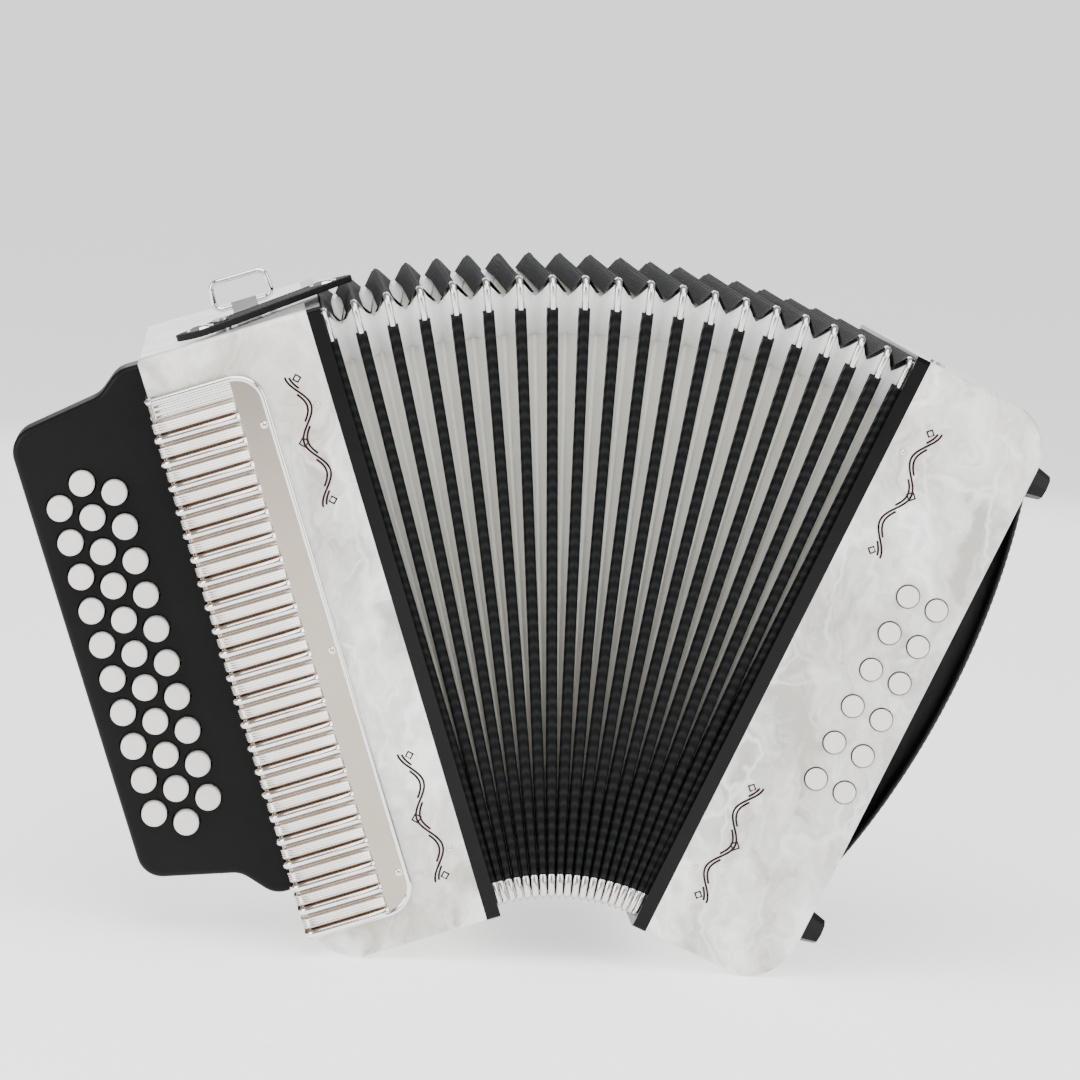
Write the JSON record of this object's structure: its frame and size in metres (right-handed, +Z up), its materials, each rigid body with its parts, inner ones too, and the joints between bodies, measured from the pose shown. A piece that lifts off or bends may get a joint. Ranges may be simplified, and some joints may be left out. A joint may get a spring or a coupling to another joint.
{
  "type": "button accordion",
  "caption": "Diatonic button accordion with fanned bellows, pearl casings, ribbed chrome grille, black fingerboard and padded hand strap.",
  "frame": {"origin": "on the floor under the middle of the whole, which stands on the lower outer corners of its two sides", "axes": "+X from the treble side to the bass side, +Y from the front to the back, +Z up"},
  "size_m": [0.5058, 0.1992, 0.3371],
  "materials": {
    "pearl": "mother-of-pearl celluloid",
    "black_board": "satin black lacquer",
    "key_cap": "satin off-white",
    "chrome": "bright",
    "reed_wood": "plain",
    "steel": "zinc plated",
    "frame_black": "gloss black",
    "bellows_skin": "pressed card and cloth",
    "strap_leather": "black",
    "foot_rubber": "black"
  },
  "bodies": {
    "treble": {"treble_casing": "pearl", "fingerboard": "black_board", "treble_grille": "chrome", "treble_reed_pan": "reed_wood", "treble_metalwork": "steel", "treble_bellows_frame": "frame_black", "bellows_folds": "bellows_skin"},
    "bass": {"bass_casing": "pearl", "bass_end_cover": "frame_black", "bass_bellows_frame": "frame_black", "bass_reed_pan": "reed_wood", "bass_metalwork": "steel", "bass_feet": "foot_rubber", "hand_strap": "strap_leather"},
    "bellows_strap": {"bellows_strap": "strap_leather"},
    "strap_loop": {"strap_loop": "chrome"},
    "air_button": {"air_button": "frame_black"},
    "key_treble_01": {"treble_key_01": "key_cap"},
    "key_treble_02": {"treble_key_02": "key_cap"},
    "key_treble_03": {"treble_key_03": "key_cap"},
    "key_treble_04": {"treble_key_04": "key_cap"},
    "key_treble_05": {"treble_key_05": "key_cap"},
    "key_treble_06": {"treble_key_06": "key_cap"},
    "key_treble_07": {"treble_key_07": "key_cap"},
    "key_treble_08": {"treble_key_08": "key_cap"},
    "key_treble_09": {"treble_key_09": "key_cap"},
    "key_treble_10": {"treble_key_10": "key_cap"},
    "key_treble_11": {"treble_key_11": "key_cap"},
    "key_treble_12": {"treble_key_12": "key_cap"},
    "key_treble_13": {"treble_key_13": "key_cap"},
    "key_treble_14": {"treble_key_14": "key_cap"},
    "key_treble_15": {"treble_key_15": "key_cap"},
    "key_treble_16": {"treble_key_16": "key_cap"},
    "key_treble_17": {"treble_key_17": "key_cap"},
    "key_treble_18": {"treble_key_18": "key_cap"},
    "key_treble_19": {"treble_key_19": "key_cap"},
    "key_treble_20": {"treble_key_20": "key_cap"},
    "key_treble_21": {"treble_key_21": "key_cap"},
    "key_treble_22": {"treble_key_22": "key_cap"},
    "key_treble_23": {"treble_key_23": "key_cap"},
    "key_treble_24": {"treble_key_24": "key_cap"},
    "key_treble_25": {"treble_key_25": "key_cap"},
    "key_treble_26": {"treble_key_26": "key_cap"},
    "key_treble_27": {"treble_key_27": "key_cap"},
    "key_treble_28": {"treble_key_28": "key_cap"},
    "key_treble_29": {"treble_key_29": "key_cap"},
    "key_treble_30": {"treble_key_30": "key_cap"},
    "key_treble_31": {"treble_key_31": "key_cap"},
    "key_bass_01": {"bass_key_01": "key_cap"},
    "key_bass_02": {"bass_key_02": "key_cap"},
    "key_bass_03": {"bass_key_03": "key_cap"},
    "key_bass_04": {"bass_key_04": "key_cap"},
    "key_bass_05": {"bass_key_05": "key_cap"},
    "key_bass_06": {"bass_key_06": "key_cap"},
    "key_bass_07": {"bass_key_07": "key_cap"},
    "key_bass_08": {"bass_key_08": "key_cap"},
    "key_bass_09": {"bass_key_09": "key_cap"},
    "key_bass_10": {"bass_key_10": "key_cap"},
    "key_bass_11": {"bass_key_11": "key_cap"},
    "key_bass_12": {"bass_key_12": "key_cap"}
  },
  "joints": [
    {"name": "accordion_fold", "type": "hinge", "parent": "treble", "child": "bass", "pos_m": [0.02861, -0.0044, 0.03375], "axis": [0, 1, 0], "range_deg": [-42.4, 20], "deforming": ["bellows_folds"]},
    {"name": "bellows_strap_swivel", "type": "hinge", "parent": "treble", "child": "bellows_strap", "pos_m": [-0.1542, -0.0714, 0.30027], "axis": [-0.3394, 0, 0.9406], "range_deg": [-42, 8]},
    {"name": "strap_loop_tilt", "type": "hinge", "parent": "treble", "child": "strap_loop", "pos_m": [-0.14451, 0.0076, 0.30759], "axis": [0.9406, 0, 0.3394], "range_deg": [-78, 78]},
    {"name": "air_button_press", "type": "slide", "parent": "bass", "child": "air_button", "axis": [-0.9235, 0, 0.3836], "range_m": [0, 0.0035], "stiffness_N_per_m": 300, "springref_m": -0.004},
    {"name": "key_treble_01_press", "type": "hinge", "parent": "treble", "child": "key_treble_01", "pos_m": [-0.10836, -0.0584, 0.07484], "axis": [0.3394, 0, -0.9406], "range_deg": [0, 3.72], "stiffness_Nm_per_rad": 0.4, "springref_deg": -5.73},
    {"name": "key_treble_02_press", "type": "hinge", "parent": "treble", "child": "key_treble_02", "pos_m": [-0.11034, -0.0584, 0.08033], "axis": [0.3394, 0, -0.9406], "range_deg": [0, 2.96], "stiffness_Nm_per_rad": 0.4, "springref_deg": -5.73},
    {"name": "key_treble_03_press", "type": "hinge", "parent": "treble", "child": "key_treble_03", "pos_m": [-0.11232, -0.0584, 0.08582], "axis": [0.3394, 0, -0.9406], "range_deg": [0, 5], "stiffness_Nm_per_rad": 0.4, "springref_deg": -5.73},
    {"name": "key_treble_04_press", "type": "hinge", "parent": "treble", "child": "key_treble_04", "pos_m": [-0.1143, -0.0584, 0.0913], "axis": [0.3394, 0, -0.9406], "range_deg": [0, 3.72], "stiffness_Nm_per_rad": 0.4, "springref_deg": -5.73},
    {"name": "key_treble_05_press", "type": "hinge", "parent": "treble", "child": "key_treble_05", "pos_m": [-0.11628, -0.0584, 0.09679], "axis": [0.3394, 0, -0.9406], "range_deg": [0, 2.96], "stiffness_Nm_per_rad": 0.4, "springref_deg": -5.73},
    {"name": "key_treble_06_press", "type": "hinge", "parent": "treble", "child": "key_treble_06", "pos_m": [-0.11826, -0.0584, 0.10228], "axis": [0.3394, 0, -0.9406], "range_deg": [0, 5], "stiffness_Nm_per_rad": 0.4, "springref_deg": -5.73},
    {"name": "key_treble_07_press", "type": "hinge", "parent": "treble", "child": "key_treble_07", "pos_m": [-0.12024, -0.0584, 0.10776], "axis": [0.3394, 0, -0.9406], "range_deg": [0, 3.72], "stiffness_Nm_per_rad": 0.4, "springref_deg": -5.73},
    {"name": "key_treble_08_press", "type": "hinge", "parent": "treble", "child": "key_treble_08", "pos_m": [-0.12222, -0.0584, 0.11325], "axis": [0.3394, 0, -0.9406], "range_deg": [0, 2.96], "stiffness_Nm_per_rad": 0.4, "springref_deg": -5.73},
    {"name": "key_treble_09_press", "type": "hinge", "parent": "treble", "child": "key_treble_09", "pos_m": [-0.1242, -0.0584, 0.11874], "axis": [0.3394, 0, -0.9406], "range_deg": [0, 5], "stiffness_Nm_per_rad": 0.4, "springref_deg": -5.73},
    {"name": "key_treble_10_press", "type": "hinge", "parent": "treble", "child": "key_treble_10", "pos_m": [-0.12618, -0.0584, 0.12423], "axis": [0.3394, 0, -0.9406], "range_deg": [0, 3.72], "stiffness_Nm_per_rad": 0.4, "springref_deg": -5.73},
    {"name": "key_treble_11_press", "type": "hinge", "parent": "treble", "child": "key_treble_11", "pos_m": [-0.12816, -0.0584, 0.12971], "axis": [0.3394, 0, -0.9406], "range_deg": [0, 2.96], "stiffness_Nm_per_rad": 0.4, "springref_deg": -5.73},
    {"name": "key_treble_12_press", "type": "hinge", "parent": "treble", "child": "key_treble_12", "pos_m": [-0.13014, -0.0584, 0.1352], "axis": [0.3394, 0, -0.9406], "range_deg": [0, 5], "stiffness_Nm_per_rad": 0.4, "springref_deg": -5.73},
    {"name": "key_treble_13_press", "type": "hinge", "parent": "treble", "child": "key_treble_13", "pos_m": [-0.13212, -0.0584, 0.14069], "axis": [0.3394, 0, -0.9406], "range_deg": [0, 3.72], "stiffness_Nm_per_rad": 0.4, "springref_deg": -5.73},
    {"name": "key_treble_14_press", "type": "hinge", "parent": "treble", "child": "key_treble_14", "pos_m": [-0.1341, -0.0584, 0.14617], "axis": [0.3394, 0, -0.9406], "range_deg": [0, 2.96], "stiffness_Nm_per_rad": 0.4, "springref_deg": -5.73},
    {"name": "key_treble_15_press", "type": "hinge", "parent": "treble", "child": "key_treble_15", "pos_m": [-0.13608, -0.0584, 0.15166], "axis": [0.3394, 0, -0.9406], "range_deg": [0, 5], "stiffness_Nm_per_rad": 0.4, "springref_deg": -5.73},
    {"name": "key_treble_16_press", "type": "hinge", "parent": "treble", "child": "key_treble_16", "pos_m": [-0.13806, -0.0584, 0.15715], "axis": [0.3394, 0, -0.9406], "range_deg": [0, 3.72], "stiffness_Nm_per_rad": 0.4, "springref_deg": -5.73},
    {"name": "key_treble_17_press", "type": "hinge", "parent": "treble", "child": "key_treble_17", "pos_m": [-0.14004, -0.0584, 0.16263], "axis": [0.3394, 0, -0.9406], "range_deg": [0, 2.96], "stiffness_Nm_per_rad": 0.4, "springref_deg": -5.73},
    {"name": "key_treble_18_press", "type": "hinge", "parent": "treble", "child": "key_treble_18", "pos_m": [-0.14202, -0.0584, 0.16812], "axis": [0.3394, 0, -0.9406], "range_deg": [0, 5], "stiffness_Nm_per_rad": 0.4, "springref_deg": -5.73},
    {"name": "key_treble_19_press", "type": "hinge", "parent": "treble", "child": "key_treble_19", "pos_m": [-0.144, -0.0584, 0.17361], "axis": [0.3394, 0, -0.9406], "range_deg": [0, 3.72], "stiffness_Nm_per_rad": 0.4, "springref_deg": -5.73},
    {"name": "key_treble_20_press", "type": "hinge", "parent": "treble", "child": "key_treble_20", "pos_m": [-0.14598, -0.0584, 0.1791], "axis": [0.3394, 0, -0.9406], "range_deg": [0, 2.96], "stiffness_Nm_per_rad": 0.4, "springref_deg": -5.73},
    {"name": "key_treble_21_press", "type": "hinge", "parent": "treble", "child": "key_treble_21", "pos_m": [-0.14796, -0.0584, 0.18458], "axis": [0.3394, 0, -0.9406], "range_deg": [0, 5], "stiffness_Nm_per_rad": 0.4, "springref_deg": -5.73},
    {"name": "key_treble_22_press", "type": "hinge", "parent": "treble", "child": "key_treble_22", "pos_m": [-0.14994, -0.0584, 0.19007], "axis": [0.3394, 0, -0.9406], "range_deg": [0, 3.72], "stiffness_Nm_per_rad": 0.4, "springref_deg": -5.73},
    {"name": "key_treble_23_press", "type": "hinge", "parent": "treble", "child": "key_treble_23", "pos_m": [-0.15192, -0.0584, 0.19556], "axis": [0.3394, 0, -0.9406], "range_deg": [0, 2.96], "stiffness_Nm_per_rad": 0.4, "springref_deg": -5.73},
    {"name": "key_treble_24_press", "type": "hinge", "parent": "treble", "child": "key_treble_24", "pos_m": [-0.1539, -0.0584, 0.20104], "axis": [0.3394, 0, -0.9406], "range_deg": [0, 5], "stiffness_Nm_per_rad": 0.4, "springref_deg": -5.73},
    {"name": "key_treble_25_press", "type": "hinge", "parent": "treble", "child": "key_treble_25", "pos_m": [-0.15588, -0.0584, 0.20653], "axis": [0.3394, 0, -0.9406], "range_deg": [0, 3.72], "stiffness_Nm_per_rad": 0.4, "springref_deg": -5.73},
    {"name": "key_treble_26_press", "type": "hinge", "parent": "treble", "child": "key_treble_26", "pos_m": [-0.15786, -0.0584, 0.21202], "axis": [0.3394, 0, -0.9406], "range_deg": [0, 2.96], "stiffness_Nm_per_rad": 0.4, "springref_deg": -5.73},
    {"name": "key_treble_27_press", "type": "hinge", "parent": "treble", "child": "key_treble_27", "pos_m": [-0.15984, -0.0584, 0.2175], "axis": [0.3394, 0, -0.9406], "range_deg": [0, 5], "stiffness_Nm_per_rad": 0.4, "springref_deg": -5.73},
    {"name": "key_treble_28_press", "type": "hinge", "parent": "treble", "child": "key_treble_28", "pos_m": [-0.16182, -0.0584, 0.22299], "axis": [0.3394, 0, -0.9406], "range_deg": [0, 3.72], "stiffness_Nm_per_rad": 0.4, "springref_deg": -5.73},
    {"name": "key_treble_29_press", "type": "hinge", "parent": "treble", "child": "key_treble_29", "pos_m": [-0.1638, -0.0584, 0.22848], "axis": [0.3394, 0, -0.9406], "range_deg": [0, 2.96], "stiffness_Nm_per_rad": 0.4, "springref_deg": -5.73},
    {"name": "key_treble_30_press", "type": "hinge", "parent": "treble", "child": "key_treble_30", "pos_m": [-0.16578, -0.0584, 0.23397], "axis": [0.3394, 0, -0.9406], "range_deg": [0, 5], "stiffness_Nm_per_rad": 0.4, "springref_deg": -5.73},
    {"name": "key_treble_31_press", "type": "hinge", "parent": "treble", "child": "key_treble_31", "pos_m": [-0.16776, -0.0584, 0.23945], "axis": [0.3394, 0, -0.9406], "range_deg": [0, 3.72], "stiffness_Nm_per_rad": 0.4, "springref_deg": -5.73},
    {"name": "key_bass_01_press", "type": "slide", "parent": "bass", "child": "key_bass_01", "axis": [0, 1, 0], "range_m": [0, 0.003], "stiffness_N_per_m": 300, "springref_m": -0.004},
    {"name": "key_bass_02_press", "type": "slide", "parent": "bass", "child": "key_bass_02", "axis": [0, 1, 0], "range_m": [0, 0.003], "stiffness_N_per_m": 300, "springref_m": -0.004},
    {"name": "key_bass_03_press", "type": "slide", "parent": "bass", "child": "key_bass_03", "axis": [0, 1, 0], "range_m": [0, 0.003], "stiffness_N_per_m": 300, "springref_m": -0.004},
    {"name": "key_bass_04_press", "type": "slide", "parent": "bass", "child": "key_bass_04", "axis": [0, 1, 0], "range_m": [0, 0.003], "stiffness_N_per_m": 300, "springref_m": -0.004},
    {"name": "key_bass_05_press", "type": "slide", "parent": "bass", "child": "key_bass_05", "axis": [0, 1, 0], "range_m": [0, 0.003], "stiffness_N_per_m": 300, "springref_m": -0.004},
    {"name": "key_bass_06_press", "type": "slide", "parent": "bass", "child": "key_bass_06", "axis": [0, 1, 0], "range_m": [0, 0.003], "stiffness_N_per_m": 300, "springref_m": -0.004},
    {"name": "key_bass_07_press", "type": "slide", "parent": "bass", "child": "key_bass_07", "axis": [0, 1, 0], "range_m": [0, 0.003], "stiffness_N_per_m": 300, "springref_m": -0.004},
    {"name": "key_bass_08_press", "type": "slide", "parent": "bass", "child": "key_bass_08", "axis": [0, 1, 0], "range_m": [0, 0.003], "stiffness_N_per_m": 300, "springref_m": -0.004},
    {"name": "key_bass_09_press", "type": "slide", "parent": "bass", "child": "key_bass_09", "axis": [0, 1, 0], "range_m": [0, 0.003], "stiffness_N_per_m": 300, "springref_m": -0.004},
    {"name": "key_bass_10_press", "type": "slide", "parent": "bass", "child": "key_bass_10", "axis": [0, 1, 0], "range_m": [0, 0.003], "stiffness_N_per_m": 300, "springref_m": -0.004},
    {"name": "key_bass_11_press", "type": "slide", "parent": "bass", "child": "key_bass_11", "axis": [0, 1, 0], "range_m": [0, 0.003], "stiffness_N_per_m": 300, "springref_m": -0.004},
    {"name": "key_bass_12_press", "type": "slide", "parent": "bass", "child": "key_bass_12", "axis": [0, 1, 0], "range_m": [0, 0.003], "stiffness_N_per_m": 300, "springref_m": -0.004}
  ]
}
